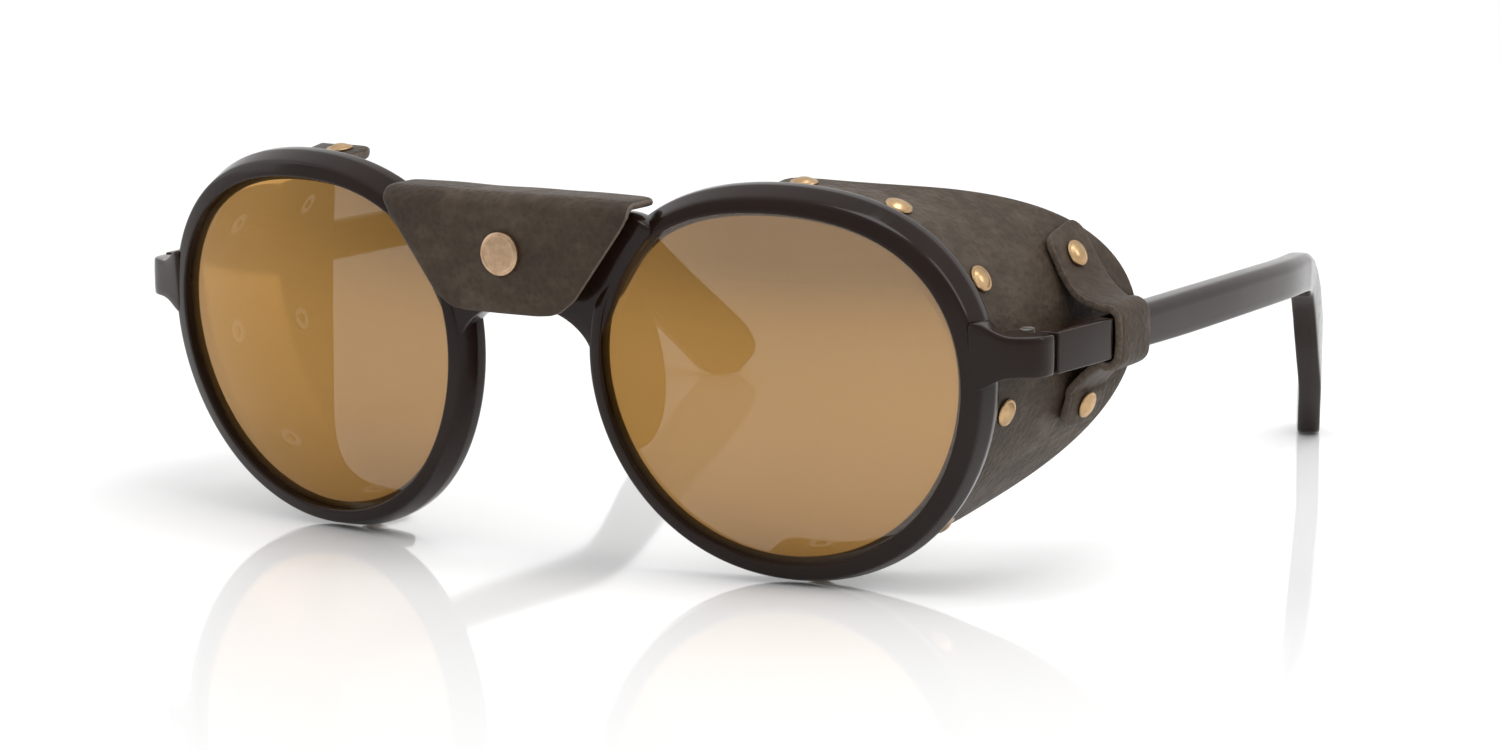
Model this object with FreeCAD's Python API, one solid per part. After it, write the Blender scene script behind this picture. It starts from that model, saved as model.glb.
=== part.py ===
"""Glacier glasses: acetate front and temples, leather bridge flap and leather side shields."""
import FreeCAD, Part
import os
from math import cos, sin, pi, radians, degrees, sqrt

V = FreeCAD.Vector
os.makedirs("parts", exist_ok=True)

# ---- placing of the whole object -------------------------------------------------
# Measures are taken with x = 0 on the symmetry plane, z = 0 on the table and y = 0 at
# the lens poles. The origin is then moved back to the middle of the depth.
ORIGIN_Y = 72.2

# ---- eye openings and lenses -----------------------------------------------------
EYE_X = 38.1            # opening centre from the symmetry plane
EYE_Y = -0.9
EYE_Z = 27.28
WRAP = 8.6              # degrees, the outer side of each lens goes back
TILT = 7.0              # degrees, the brow leans forward
EYE_RADIUS = 25.2       # mean radius of the visible opening
EYE_OVAL = 0.57         # wider than tall
EYE_LEAN = -0.17        # the long axis leans a little
EYE_PANTO = 0.62        # flat brow and full lower half
EYE_SQUARE = -0.26      # slightly full corners
BASE_CURVE = 83.0       # radius of the lens front surface
LENS_THICKNESS = 2.0
LENS_IN_GROOVE = 0.7    # lens edge beyond the visible opening
GROOVE_PLAY = 0.03

# ---- acetate front ---------------------------------------------------------------
RIM_WIDTH = 3.25        # mean width of the rim's front face
RIM_OUTER_EXTRA = 0.5   # wider beside the temple, narrower beside the nose
RIM_BROW_EXTRA = -0.02  # over the brow, against below
RIM_PROUD = 1.3         # front face ahead of the lens
RIM_BEHIND = 3.0        # back face behind the lens front surface
BEVEL_WIDTH = 1.1       # polished bevel round the front's outer edge
BEVEL_DEPTH = 2.4
BRIDGE_TOP = 50.2
BRIDGE_UNDER = 36.2
BRIDGE_FRONT_Y = -3.4
BRIDGE_BACK_Y = 1.6
ENDPIECE_TOP = 36.0
ENDPIECE_LOW = 30.5
ENDPIECE_X = 72.9
JOINT_Y = 13.85         # back face of the endpiece
JOINT_GAP = 0.10

# ---- nose pads -------------------------------------------------------------------
PAD_MIDDLE_ANGLE = 181.0
PAD_HALF_ANGLE = 27.0
PAD_DEPTH = 5.2         # how far the pad reaches behind the rim's back face
PAD_SPREAD = 5.6        # how far it opens outwards with the nose on the way
PAD_THICKNESS = 2.6

# ---- bridge flap and stud --------------------------------------------------------
LEATHER = 1.4
FLAP_FRONT_Y = -7.2
FLAP_TOP_Z = 52.1
FLAP_LOW_Z = 35.6
FLAP_BACK_Y = 1.2
FLAP_HALF_TOP = 19.8
FLAP_SHOULDER = (18.7, 48.3)    # half width and height where the sides turn inwards
FLAP_CORNER = (11.2, 38.0)
FLAP_TONGUE = (8.8, 36.2)
FLAP_HALF_LOW = 7.0
FLAP_BEND = 2.4         # outer radius of the fold
STUD_Z = 43.9
STUD_CAP_RADIUS = 3.0
STUD_CAP_HEIGHT = 0.8
STUD_POST_RADIUS = 1.2
STUD_BACK_RADIUS = 2.6
STUD_BACK_HEIGHT = 0.7

# ---- hinges ----------------------------------------------------------------------
HINGE_X = 67.9
HINGE_Y = 15.55
HINGE_Z = 33.3
BARREL_RADIUS = 1.2
BARREL_STACK = 4.4      # length of the five barrels together
BARREL_COUNT = 5
BARREL_GAP = 0.06
SCREW_RADIUS = 0.62
SCREW_PLAY = 0.05
SCREW_HEAD_RADIUS = 1.0
SCREW_HEAD_HEIGHT = 0.6
LEAF_THICKNESS = 1.0
FRONT_LEAF_REACH = 3.4
TEMPLE_LEAF_REACH = 9.0

# ---- temples ---------------------------------------------------------------------
ARM_THICKNESS = 3.7
BLOCK_END_Y = 28.2      # end of the raised front block
BLOCK_PROUD = 1.0
# Stations down the temple: outer face x, y, mid-height z, height, degrees below level.
ARM_STATIONS = [
    (73.0, JOINT_Y + JOINT_GAP, 33.35, 5.4, 0),
    (73.4, 30.0, 33.3, 5.6, 0),
    (73.8, 52.0, 33.1, 5.9, 0),
    (73.6, 75.0, 32.9, 5.8, 1),
    (71.9, 95.0, 32.2, 5.7, 3),
    (68.6, 110.0, 31.1, 5.8, 6),
    (66.2, 117.5, 29.9, 6.2, 14),
    (64.9, 121.6, 28.0, 7.0, 29),
    (63.8, 125.4, 24.9, 8.4, 42),
    (62.6, 129.4, 20.4, 9.8, 45),
    (60.7, 135.0, 14.8, 10.4, 44),
    (58.3, 140.8, 9.2, 10.8, 44),
    (56.1, 146.0, 4.1, 11.0, 44),
    (54.6, 149.4, 0.8, 9.6, 44),
]
STRAIGHT_STATIONS = 6   # flat-faced from the hinge to here, then one smooth bend
CORE_THICKNESS = 1.0
CORE_HEIGHT = 1.8
CORE_END_Y = 112.0

# ---- side shields ----------------------------------------------------------------
SHIELD_THICKNESS = 1.5
SHIELD_SEAT = 1.25      # leather middle surface outside the visible opening
SHIELD_SEAT_LEAN = 0.35 # closer to the opening at the brow, further below
SHIELD_START = 7.55     # distance behind the lens pole where the leather begins
WALL_STEP = 9.0         # degrees between the sections of the leather and of its band
SHIELD_TOP_ANGLE = 97.0
SHIELD_LOW_ANGLE = -101.0
SHIELD_DEPTH_MIN = 9.0
SHIELD_DEPTH_EXTRA = 28.4
SHIELD_DEEPEST_ANGLE = 4.0
SHIELD_FALL_POWER = 2.65
SHIELD_FLARE = 0.28
SHIELD_FLARE_ANGLE = -9.0
SHIELD_FLARE_POWER = 2.1
RIVET_BEHIND_RIM = 5.4
RIVET_ANGLES = [87.5, 57.5, 28.0, -9.0, -48.0, -87.0]
RIVET_HEAD_RADIUS = 1.9
RIVET_HEAD_HEIGHT = 0.9
RIVET_SHANK_RADIUS = 0.8
WASHER_RADIUS = 1.7
WASHER_THICKNESS = 0.5
WASHER_GAP = 0.25       # a flat washer stands off the hollow of the leather
BAND_THICKNESS = 0.5    # steel band between the plies
BAND_DEPTH = 9.0
BAND_SETBACK = 1.0      # how far into the rim's back the band reaches
BAND_NOTCH_Y = 15.6     # the band stops here where the folded temple passes
BAND_NOTCH_LOW = 27.5
BAND_NOTCH_HIGH = 38.5

# ---- temple straps ---------------------------------------------------------------
STRAP_FRONT_Y = 29.0
STRAP_WIDTH = 9.0
STRAP_CLEARANCE = 0.3
STRAP_LEG_Y = 34.6          # middle line of the two legs
STRAP_UPPER_TIP_ANGLE = 27.5
STRAP_UPPER_FOOT_ANGLE = 12.5
STRAP_LOWER_FOOT_ANGLE = -8.0
STRAP_LOWER_TIP_ANGLE = -18.0
STRAP_RIVET_ANGLES = [20.0, -13.0]
HOLE_CLEARANCE = 0.3

# ---- the eye's own axes: u outwards, v up, n backwards ----------------------------
_w = radians(WRAP)
_t = radians(TILT)
EYE_CENTRE = V(EYE_X, EYE_Y, EYE_Z)
AXIS_U = V(cos(_w), sin(_w), 0)
AXIS_V = V(sin(_t) * sin(_w), -sin(_t) * cos(_w), cos(_t))
AXIS_N = V(-cos(_t) * sin(_w), cos(_t) * cos(_w), sin(_t))
SPHERE_CENTRE = EYE_CENTRE + AXIS_N * BASE_CURVE


def eye_point(u, v, n):
    return EYE_CENTRE + AXIS_U * u + AXIS_V * v + AXIS_N * n


def eye_radius(angle):
    """Radius of the visible opening at an angle in degrees, 0 towards the temple, 90 up."""
    a = radians(angle)
    oval = EYE_OVAL * cos(2 * a) + EYE_LEAN * sin(2 * a)
    return EYE_RADIUS + oval + EYE_PANTO * sin(3 * a) + EYE_SQUARE * cos(4 * a)


def rim_radius(angle):
    a = radians(angle)
    width = RIM_WIDTH + RIM_OUTER_EXTRA * cos(a) + RIM_BROW_EXTRA * sin(a)
    return eye_radius(angle) + width


def polar_point(radius, angle, n):
    a = radians(angle)
    return eye_point(radius * cos(a), radius * sin(a), n)


def eye_prism(radius_of, extra=0.0, start=-12.0, length=40.0):
    """Closed outline swept along the eye's axis."""
    points = [polar_point(radius_of(10 * i) + extra, 10 * i, start) for i in range(36)]
    curve = Part.BSplineCurve()
    curve.interpolate(Points=points, PeriodicFlag=True)
    face = Part.Face(Part.Wire([curve.toShape()]))
    return face.extrude(AXIS_N * length)


def shell(prism, front, back):
    """The part of a prism between two spheres about the lens's centre of curvature."""
    outer = Part.makeSphere(front, SPHERE_CENTRE, AXIS_V)
    inner = Part.makeSphere(back, SPHERE_CENTRE, AXIS_V)
    return prism.common(outer).cut(inner)


def mirrored(shape):
    return shape.mirror(V(0, 0, 0), V(1, 0, 0))


def polygon_face(points):
    return Part.Face(Part.makePolygon(points + [points[0]]))


def cylinder(radius, start, end):
    axis = end - start
    return Part.makeCylinder(radius, axis.Length, start, axis)


def rectangle(centre, side, up, half_side, half_up):
    corners = [(-1, -1), (1, -1), (1, 1), (-1, 1)]
    points = [centre + side * (half_side * a) + up * (half_up * b) for a, b in corners]
    return Part.makePolygon(points + [points[0]])


# ---- lenses ----------------------------------------------------------------------
def make_lens():
    prism = eye_prism(eye_radius, LENS_IN_GROOVE)
    return shell(prism, BASE_CURVE, BASE_CURVE - LENS_THICKNESS)


# ---- front -----------------------------------------------------------------------
def make_rim():
    prism = eye_prism(rim_radius)
    rim = shell(prism, BASE_CURVE + RIM_PROUD, BASE_CURVE - RIM_BEHIND)
    slope = BEVEL_WIDTH / BEVEL_DEPTH
    edge_n = 5.0 - RIM_PROUD            # the front face's outer edge, behind the lens pole
    low = edge_n - 10.0
    high = edge_n + 10.0
    wires = []
    for n in (low, high):
        grow = slope * (n - edge_n) - BEVEL_WIDTH
        points = [polar_point(rim_radius(10 * i) + grow, 10 * i, n) for i in range(36)]
        curve = Part.BSplineCurve()
        curve.interpolate(Points=points, PeriodicFlag=True)
        wires.append(Part.Wire([curve.toShape()]))
    return rim.common(Part.makeLoft(wires, True, True))


def make_bridge():
    half_top = 19.0
    half_low = 10.6
    shoulder_z = 40.0
    y = BRIDGE_FRONT_Y
    top_left = V(-half_top, y, BRIDGE_TOP)
    top_right = V(half_top, y, BRIDGE_TOP)
    right = V(half_top, y, shoulder_z)
    low_right = V(half_low, y, BRIDGE_UNDER - 4.6)
    low_left = V(-half_low, y, BRIDGE_UNDER - 4.6)
    left = V(-half_top, y, shoulder_z)
    arch = Part.Arc(low_right, V(0, y, BRIDGE_UNDER), low_left).toShape()
    edges = [Part.makeLine(top_left, top_right), Part.makeLine(top_right, right)]
    edges += [Part.makeLine(right, low_right), arch]
    edges += [Part.makeLine(low_left, left), Part.makeLine(left, top_left)]
    return Part.Face(Part.Wire(edges)).extrude(V(0, BRIDGE_BACK_Y - y, 0))


def make_endpiece():
    """From the rim's outer side to the corner, where the frame turns back to the hinge."""
    corner = 1.7
    plan = [(60.5, 4.7), (66.6, 7.2), (ENDPIECE_X - corner, 9.3)]
    plan += [(ENDPIECE_X, 9.3 + corner), (ENDPIECE_X + 0.1, JOINT_Y)]
    plan += [(65.7, JOINT_Y), (65.5, 11.2), (60.5, 8.8)]
    face = polygon_face([V(x, y, ENDPIECE_LOW) for x, y in plan])
    return face.extrude(V(0, 0, ENDPIECE_TOP - ENDPIECE_LOW))


def make_front(cutters):
    half = make_rim().fuse(make_endpiece())
    front = half.fuse([mirrored(half), make_bridge()])
    opening = eye_prism(eye_radius, 0.0, -12.0, 23.0)
    groove_prism = eye_prism(eye_radius, LENS_IN_GROOVE + GROOVE_PLAY)
    back = BASE_CURVE - LENS_THICKNESS - GROOVE_PLAY
    groove = shell(groove_prism, BASE_CURVE + GROOVE_PLAY, back)
    tools = [opening, groove] + cutters
    for tool in tools:
        front = front.cut(tool)
        front = front.cut(mirrored(tool))
    post = cylinder(STUD_POST_RADIUS, V(0, -8, STUD_Z), V(0, 8, STUD_Z))
    return front.cut(post).removeSplitter()


# ---- nose pads -------------------------------------------------------------------
def make_nose_pad(front):
    """Pad grown from the rim's back face on the nose side; it opens outwards with the nose."""
    sections = []
    steps = 8
    for i in range(steps + 1):
        part = -1 + 2 * i / steps
        angle = PAD_MIDDLE_ANGLE + PAD_HALF_ANGLE * part
        swell = sqrt(1.02 - part * part)
        outer = rim_radius(angle) - 0.25
        back = rim_back(outer)
        depth = PAD_DEPTH * swell
        spread = PAD_SPREAD * swell
        root = min(PAD_THICKNESS, outer - eye_radius(angle))
        corners = [(outer, back - 0.4), (outer - root, back - 0.4)]
        corners += [(outer - root - spread, back + depth - 1.2 * swell)]
        corners += [(outer - root - spread + 0.8, back + depth)]
        points = [polar_point(radius, angle, n) for radius, n in corners]
        sections.append(Part.makePolygon(points + [points[0]]))
    return Part.makeLoft(sections, True, False).cut(front)


# ---- bridge flap and its stud ----------------------------------------------------
def make_flap():
    y = FLAP_FRONT_Y
    r = FLAP_BEND
    inner = r - LEATHER
    turn = sin(pi / 4)
    mid_y = y + r
    mid_z = FLAP_TOP_Z - r

    def arc_edge(radius):
        start = V(0, mid_y - radius, mid_z)
        middle = V(0, mid_y - radius * turn, mid_z + radius * turn)
        return Part.Arc(start, middle, V(0, mid_y, mid_z + radius)).toShape()

    line = Part.makeLine
    outer_low = V(0, y, FLAP_LOW_Z)
    inner_low = V(0, y + LEATHER, FLAP_LOW_Z)
    outer_back = V(0, FLAP_BACK_Y, FLAP_TOP_Z)
    inner_back = V(0, FLAP_BACK_Y, FLAP_TOP_Z - LEATHER)
    edges = [line(outer_low, V(0, y, mid_z)), arc_edge(r)]
    edges += [line(V(0, mid_y, FLAP_TOP_Z), outer_back), line(outer_back, inner_back)]
    edges += [line(inner_back, V(0, mid_y, FLAP_TOP_Z - LEATHER)), arc_edge(inner)]
    edges += [line(V(0, y + LEATHER, mid_z), inner_low), line(inner_low, outer_low)]
    profile = Part.Face(Part.Wire(Part.__sortEdges__(edges)))
    strip = profile.extrude(V(2 * FLAP_HALF_TOP, 0, 0))
    strip.translate(V(-FLAP_HALF_TOP, 0, 0))
    side = [(FLAP_HALF_TOP, FLAP_TOP_Z + 2), (FLAP_HALF_TOP, FLAP_SHOULDER[1] + 2)]
    side += [FLAP_SHOULDER, FLAP_CORNER, FLAP_TONGUE, (FLAP_HALF_LOW, FLAP_LOW_Z)]
    outline = side + [(-x, z) for x, z in reversed(side)]
    window = polygon_face([V(x, -12, z) for x, z in outline]).extrude(V(0, 20, 0))
    hole = cylinder(STUD_POST_RADIUS, V(0, -9, STUD_Z), V(0, 0, STUD_Z))
    return strip.common(window).cut(hole)


def make_stud():
    """Cap, post and the shoulder that holds the flap off the bridge."""
    front = FLAP_FRONT_Y
    cap = cylinder(STUD_CAP_RADIUS, V(0, front - STUD_CAP_HEIGHT, STUD_Z), V(0, front, STUD_Z))
    edge = [e for e in cap.Edges if abs(e.BoundBox.YMax - (front - STUD_CAP_HEIGHT)) < 0.01]
    cap = cap.makeChamfer(0.25, edge)
    end = BRIDGE_BACK_Y + STUD_BACK_HEIGHT
    post = cylinder(STUD_POST_RADIUS, V(0, front, STUD_Z), V(0, end, STUD_Z))
    shoulder_start = V(0, front + LEATHER, STUD_Z)
    shoulder = cylinder(STUD_POST_RADIUS + 0.7, shoulder_start, V(0, BRIDGE_FRONT_Y, STUD_Z))
    return cap.fuse([post, shoulder]).removeSplitter()


def make_stud_back():
    start = V(0, BRIDGE_BACK_Y, STUD_Z)
    end = V(0, BRIDGE_BACK_Y + STUD_BACK_HEIGHT, STUD_Z)
    washer = cylinder(STUD_BACK_RADIUS, start, end)
    return washer.cut(cylinder(STUD_POST_RADIUS, start, end))


# ---- hinges ----------------------------------------------------------------------
HINGE_CENTRE = V(HINGE_X, HINGE_Y, HINGE_Z)
SLOT = BARREL_STACK / BARREL_COUNT


def tilted(shape):
    """From the pin's own axes to its place on the frame."""
    shape.rotate(V(0, 0, 0), V(1, 0, 0), TILT)
    shape.translate(HINGE_CENTRE)
    return shape


def box(low, high):
    size = high - low
    return Part.makeBox(size.x, size.y, size.z, low)


def barrels(slots, web_low, web_high):
    """Barrels at the given places in the stack, each with the web to its leaf."""
    pieces = []
    for slot in slots:
        low = -BARREL_STACK / 2 + slot * SLOT + BARREL_GAP / 2
        height = SLOT - BARREL_GAP
        barrel = Part.makeCylinder(BARREL_RADIUS, height, V(0, 0, low))
        web = box(V(web_low[0], web_low[1], low), V(web_high[0], web_high[1], low + height))
        pieces.append(barrel.fuse(web))
    joined = pieces[0].fuse(pieces[1:])
    bore = Part.makeCylinder(SCREW_RADIUS + SCREW_PLAY, 20, V(0, 0, -10))
    return tilted(joined.cut(bore))


def make_front_leaf():
    back = JOINT_Y - HINGE_Y
    plate = box(V(-1.7, back - LEAF_THICKNESS, -2.3), V(FRONT_LEAF_REACH, back, 2.3))
    plate.translate(HINGE_CENTRE)
    knuckles = barrels([0, 2, 4], (-0.6, back - 0.6), (0.6, 0))
    return plate.fuse(knuckles).removeSplitter()


def make_temple_leaf():
    """Plate on the arm's inner face, with a tang into the acetate that holds the core."""
    start = BARREL_RADIUS + 0.2
    inner = 0.6
    outer = inner + LEAF_THICKNESS
    plate = box(V(inner, start, -2.0), V(outer, start + TEMPLE_LEAF_REACH, 2.0))
    tang = box(V(outer, start + 6.0, -0.9), V(outer + 2.6, start + 8.0, 0.9))
    plate = plate.fuse(tang)
    plate.translate(HINGE_CENTRE)
    knuckles = barrels([1, 3], (0, 0), (outer, start + 0.5))
    return plate.fuse(knuckles).removeSplitter()


def make_hinge_screw():
    low = -BARREL_STACK / 2
    shank = Part.makeCylinder(SCREW_RADIUS, BARREL_STACK, V(0, 0, low))
    top = BARREL_STACK / 2
    head = Part.makeCylinder(SCREW_HEAD_RADIUS, SCREW_HEAD_HEIGHT, V(0, 0, top))
    slot = box(V(-2, -0.15, top + SCREW_HEAD_HEIGHT - 0.3), V(2, 0.15, top + 2))
    return tilted(shank.fuse(head).cut(slot))


# ---- temples ---------------------------------------------------------------------
def arm_frames():
    """Centre, thickness direction, height direction and half height at each station."""
    outer = [V(x, y, z) for x, y, z, h, angle in ARM_STATIONS]
    frames = []
    for i, (x, y, z, height, angle) in enumerate(ARM_STATIONS):
        before = outer[max(i - 1, 0)]
        after = outer[min(i + 1, len(outer) - 1)]
        slope = (after.x - before.x) / (after.y - before.y)
        side = V(1, -slope, 0).normalize()
        along_y = cos(radians(angle))
        tangent = V(slope * along_y, along_y, -sin(radians(angle))).normalize()
        up = side.cross(tangent)
        centre = outer[i] - side * (ARM_THICKNESS / 2)
        frames.append((centre, side, up, height / 2, ARM_THICKNESS / 2))
    return frames


def make_core():
    """Flat stiffening wire inside the arm, from the hinge leaf's tang to the bend."""
    stations = [f for f in arm_frames() if 29 < f[0].y < CORE_END_Y]
    c, side, up = stations[0][:3]
    start = V(c.x - 0.3, HINGE_Y + BARREL_RADIUS + 0.2 + 8.0, HINGE_Z)
    places = [(start, side, up)] + [f[:3] for f in stations]
    sections = [rectangle(*place, CORE_THICKNESS / 2, CORE_HEIGHT / 2) for place in places]
    return Part.makeLoft(sections, True, True)


def make_temple(leaf, core):
    frames = arm_frames()
    sections = [rectangle(c, side, up, t, h) for c, side, up, h, t in frames]
    straight = Part.makeLoft(sections[:STRAIGHT_STATIONS], True, True)
    arm = straight.fuse(Part.makeLoft(sections[STRAIGHT_STATIONS - 1:], True, False))
    below_floor = box(V(0, 100, -30), V(100, 200, 0))
    start = JOINT_Y + JOINT_GAP
    x = ARM_STATIONS[0][0]
    proud = BLOCK_PROUD
    plan = [(x - 1.0, start), (x + 0.1, start), (x + 0.4 + proud, BLOCK_END_Y)]
    plan += [(x - 0.6, BLOCK_END_Y)]
    block = polygon_face([V(a, b, ENDPIECE_LOW + 0.1) for a, b in plan]).extrude(V(0, 0, 5.5))
    temple = arm.fuse(block).cut(below_floor)
    return temple.cut(leaf).cut(core).removeSplitter()


# ---- side shields ----------------------------------------------------------------
def shield_slope(angle):
    base = max(0.05, cos(radians(angle - SHIELD_FLARE_ANGLE)))
    return SHIELD_FLARE * base ** SHIELD_FLARE_POWER


def shield_end(angle):
    base = max(0.0, cos(radians(angle - SHIELD_DEEPEST_ANGLE)))
    return SHIELD_START + SHIELD_DEPTH_MIN + SHIELD_DEPTH_EXTRA * base ** SHIELD_FALL_POWER


def shield_radius(angle, n):
    seat = SHIELD_SEAT - SHIELD_SEAT_LEAN * sin(radians(angle))
    return eye_radius(angle) + seat + shield_slope(angle) * (n - SHIELD_START)


def shield_point(angle, n, offset=0.0):
    return polar_point(shield_radius(angle, n) + offset, angle, n)


def rim_back(radius):
    """Distance of the rim's back face behind the lens pole at a radius."""
    return BASE_CURVE - sqrt((BASE_CURVE - RIM_BEHIND) ** 2 - radius ** 2)


def wall(low, high, step, half, start_of, end_of):
    """Curved leather or steel wall: a loft of thin sections round the eye."""
    count = round((high - low) / step)
    sections = []
    for i in range(count + 1):
        angle = low + (high - low) * i / count
        start = start_of(angle)
        end = end_of(angle)
        points = [shield_point(angle, start, -half), shield_point(angle, start, half)]
        points += [shield_point(angle, end, half), shield_point(angle, end, -half)]
        sections.append(Part.makePolygon(points + [points[0]]))
    return Part.makeLoft(sections, True, True)


def make_shield_blank():
    def start_of(angle):
        return rim_back(shield_radius(angle, SHIELD_START) + SHIELD_THICKNESS / 2) + 0.06

    low = SHIELD_LOW_ANGLE
    return wall(low, SHIELD_TOP_ANGLE, WALL_STEP, SHIELD_THICKNESS / 2, start_of, shield_end)


def make_band_blank():
    low = SHIELD_LOW_ANGLE + 4
    high = SHIELD_TOP_ANGLE - 4
    start = SHIELD_START - BAND_SETBACK
    end = SHIELD_START + BAND_DEPTH
    ring = wall(low, high, WALL_STEP, BAND_THICKNESS / 2, lambda a: start, lambda a: end)
    return ring.cut(box(V(50, BAND_NOTCH_Y, BAND_NOTCH_LOW), V(75, 40, BAND_NOTCH_HIGH)))


def rivet_axis(angle, n):
    """Middle of the leather and its outward normal at a rivet."""
    backwards = shield_point(angle, n + 1) - shield_point(angle, n - 1)
    around = shield_point(angle + 1, n) - shield_point(angle - 1, n)
    return shield_point(angle, n), backwards.cross(around).normalize()


def make_rivet(angle, n, inner, outer):
    """Domed head at the outer distance from the leather's middle, shank to the inner one."""
    middle, normal = rivet_axis(angle, n)
    base = middle + normal * outer
    r = RIVET_HEAD_RADIUS
    h = RIVET_HEAD_HEIGHT
    dome_radius = (r * r + h * h) / (2 * h)
    dome = Part.makeSphere(dome_radius, base + normal * (h - dome_radius), normal)
    head = dome.common(Part.makeCylinder(r + 1, h + 1, base, normal))
    shank = cylinder(RIVET_SHANK_RADIUS, middle - normal * inner, base + normal * 0.3)
    return head.fuse(shank).removeSplitter()


def make_washer(angle, n, inner):
    middle, normal = rivet_axis(angle, n)
    start = middle - normal * inner
    end = start - normal * WASHER_THICKNESS
    return cylinder(WASHER_RADIUS, start, end).cut(cylinder(RIVET_SHANK_RADIUS, start, end))


# ---- temple straps ---------------------------------------------------------------
def strap_n(angle):
    """Distance behind the lens pole at which the shield meets the legs' middle line."""
    n = STRAP_LEG_Y
    for _ in range(6):
        n += (STRAP_LEG_Y - shield_point(angle, n).y) / AXIS_N.y
    return n


def make_strap():
    """Leather loop round the arm whose two legs lie on the shield."""
    half = LEATHER / 2
    lift = SHIELD_THICKNESS / 2 + STRAP_CLEARANCE + half

    def leg(angle):
        middle = strap_n(angle)
        front_n = middle - STRAP_WIDTH / 2
        back_n = middle + STRAP_WIDTH / 2
        return shield_point(angle, front_n, lift), shield_point(angle, back_n, lift)

    y0 = STRAP_FRONT_Y
    y1 = STRAP_FRONT_Y + STRAP_WIDTH
    outside = 73.6 + STRAP_CLEARANCE + half
    over = 36.25 + STRAP_CLEARANCE + half
    under = 30.3 - STRAP_CLEARANCE - half
    corner = 1.6
    loop = [(outside - 3.0, over), (outside - corner, over), (outside - 0.4, over - 0.5)]
    loop += [(outside, over - corner), (outside, under + corner)]
    loop += [(outside - 0.4, under + 0.5), (outside - corner, under), (outside - 3.2, under)]
    edges = [leg(STRAP_UPPER_TIP_ANGLE), leg(20.0), leg(STRAP_UPPER_FOOT_ANGLE)]
    edges += [(V(x, y0, z), V(x, y1, z)) for x, z in loop]
    edges += [leg(STRAP_LOWER_FOOT_ANGLE), leg(-12.5), leg(STRAP_LOWER_TIP_ANGLE)]
    middles = [(a + b) * 0.5 for a, b in edges]
    sections = []
    for i, (a, b) in enumerate(edges):
        across = (b - a).normalize()
        before = middles[max(i - 1, 0)]
        after = middles[min(i + 1, len(middles) - 1)]
        thick = (after - before).cross(across).normalize()
        sections.append(rectangle(middles[i], across, thick, STRAP_WIDTH / 2, half))
    return Part.makeLoft(sections, True, True)


# ---- putting it together ---------------------------------------------------------
def export(name, shape):
    moved = shape.copy()
    moved.translate(V(0, -ORIGIN_Y, 0))
    solids = moved.Solids
    print(name, "solids", len(solids), "valid", moved.isValid(), "volume", round(moved.Volume, 1))
    if len(solids) == 1:
        moved = solids[0]
    else:
        moved = Part.makeCompound(solids)
    moved.exportStep("parts/" + name + ".step")


def export_pair(name, shape):
    export(name + "_left", shape)
    export(name + "_right", mirrored(shape))


lens = make_lens()
front_leaf = make_front_leaf()
band = make_band_blank()
front = make_front([front_leaf, band])
temple_leaf = make_temple_leaf()
core = make_core()
temple = make_temple(temple_leaf, core)
flap = make_flap()

rivet_n = SHIELD_START + RIVET_BEHIND_RIM
half_leather = SHIELD_THICKNESS / 2
rim_rivets = []
rim_washers = []
for rivet_angle in RIVET_ANGLES:
    inner = half_leather + WASHER_GAP
    reach = inner + WASHER_THICKNESS
    rim_rivets.append(make_rivet(rivet_angle, rivet_n, reach, half_leather))
    rim_washers.append(make_washer(rivet_angle, rivet_n, inner))

strap_rivets = []
strap_washers = []
strap_holes = []
strap_shanks = []
strap_outer = half_leather + STRAP_CLEARANCE + LEATHER
for rivet_angle in STRAP_RIVET_ANGLES:
    inner = half_leather + WASHER_GAP + 0.1
    reach = inner + WASHER_THICKNESS
    n = strap_n(rivet_angle)
    strap_rivets.append(make_rivet(rivet_angle, n, reach, strap_outer + 0.05))
    strap_washers.append(make_washer(rivet_angle, n, inner))
    middle, normal = rivet_axis(rivet_angle, n)
    hole_radius = RIVET_SHANK_RADIUS + HOLE_CLEARANCE
    strap_holes.append(cylinder(hole_radius, middle - normal * 2, middle + normal))
    strap_shanks.append(cylinder(RIVET_SHANK_RADIUS, middle - normal * 2, middle + normal * 4))

shield = make_shield_blank().cut(band).cut(rim_rivets).cut(strap_holes)
band = band.cut(rim_rivets)
strap = make_strap().cut(strap_shanks)

export("front_frame", front)
export_pair("lens", lens)
export_pair("nose_pad", make_nose_pad(front))
export("bridge_flap", flap)
export("bridge_stud", make_stud())
export("bridge_stud_washer", make_stud_back())
export_pair("hinge_front_leaf", front_leaf)
export_pair("hinge_temple_leaf", temple_leaf)
export_pair("hinge_screw", make_hinge_screw())
export_pair("temple", temple)
export_pair("temple_core_wire", core)
export_pair("side_shield", shield)
export_pair("shield_band", band)
export_pair("shield_rivets", Part.makeCompound(rim_rivets))
export_pair("shield_rivet_washers", Part.makeCompound(rim_washers))
export_pair("temple_strap", strap)
export_pair("strap_rivets", Part.makeCompound(strap_rivets))
export_pair("strap_rivet_washers", Part.makeCompound(strap_washers))
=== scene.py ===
"""Glacier glasses: acetate front and temples, leather bridge flap and leather side shields."""
import bpy
import bmesh
from math import sin, cos, pi, radians, sqrt
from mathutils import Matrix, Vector, noise


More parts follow.
